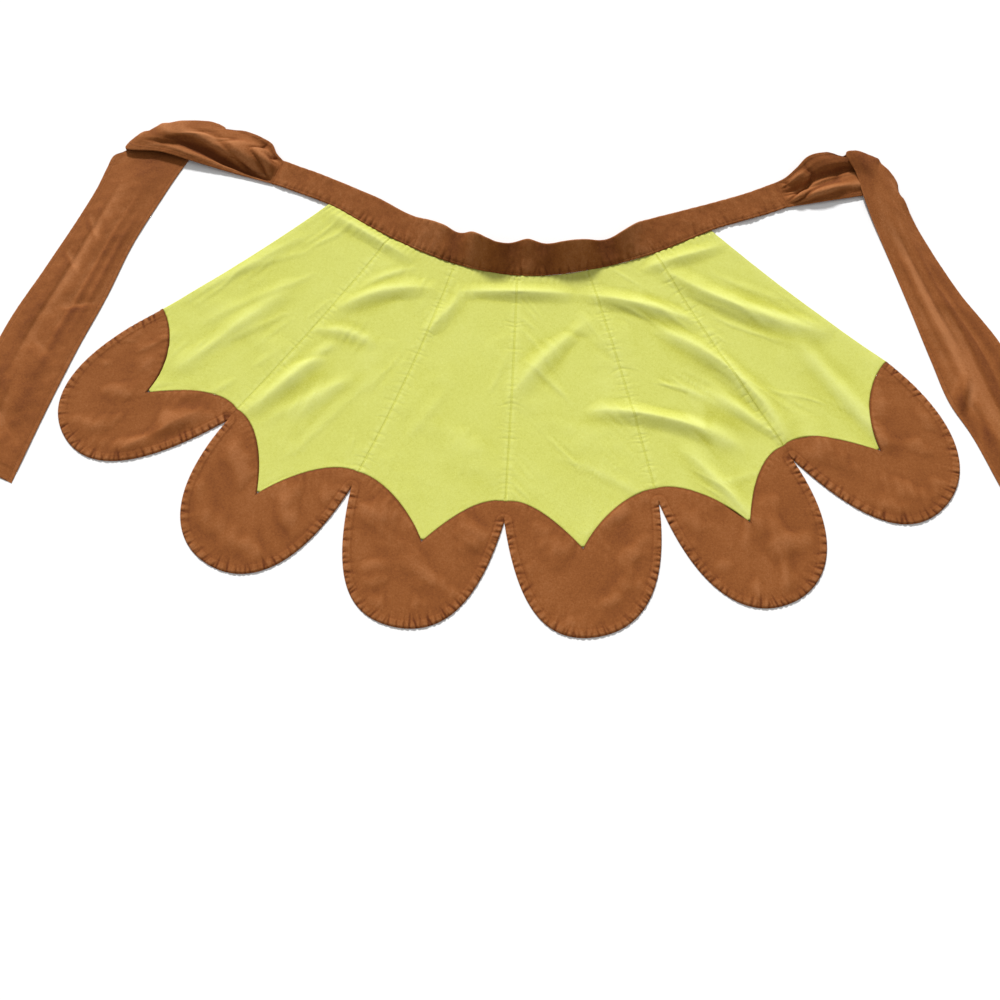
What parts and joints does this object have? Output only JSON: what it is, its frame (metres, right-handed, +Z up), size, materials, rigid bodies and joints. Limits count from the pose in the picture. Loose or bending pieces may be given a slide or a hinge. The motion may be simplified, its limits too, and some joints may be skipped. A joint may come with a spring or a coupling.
{
  "type": "waist apron",
  "caption": "Half apron with a fan-shaped skirt of flared panels, a scalloped hem of rounded petals, a curved waistband and wide tie ends, lying flat.",
  "frame": {"origin": "on the surface that the apron lies on, below the middle of its outline seen from above", "axes": "+X along the width of the apron, from the tie on the picture's left to the one on its right, +Y from the petals to the waistband, +Z up from the surface"},
  "size_m": [1.2818, 0.6636, 0.0278],
  "materials": {
    "yellow_cotton": "matt plain-woven yellow-green cotton",
    "brown_cotton": "matt plain-woven brown cotton"
  },
  "bodies": {
    "root": {"waistband": "brown_cotton", "tie_left": "brown_cotton", "tie_right": "brown_cotton", "gore_1": "yellow_cotton", "petal_1": "brown_cotton", "gore_2": "yellow_cotton", "petal_2": "brown_cotton", "gore_3": "yellow_cotton", "petal_3": "brown_cotton", "gore_4": "yellow_cotton", "petal_4": "brown_cotton", "gore_5": "yellow_cotton", "petal_5": "brown_cotton", "gore_6": "yellow_cotton", "petal_6": "brown_cotton"}
  },
  "joints": []
}
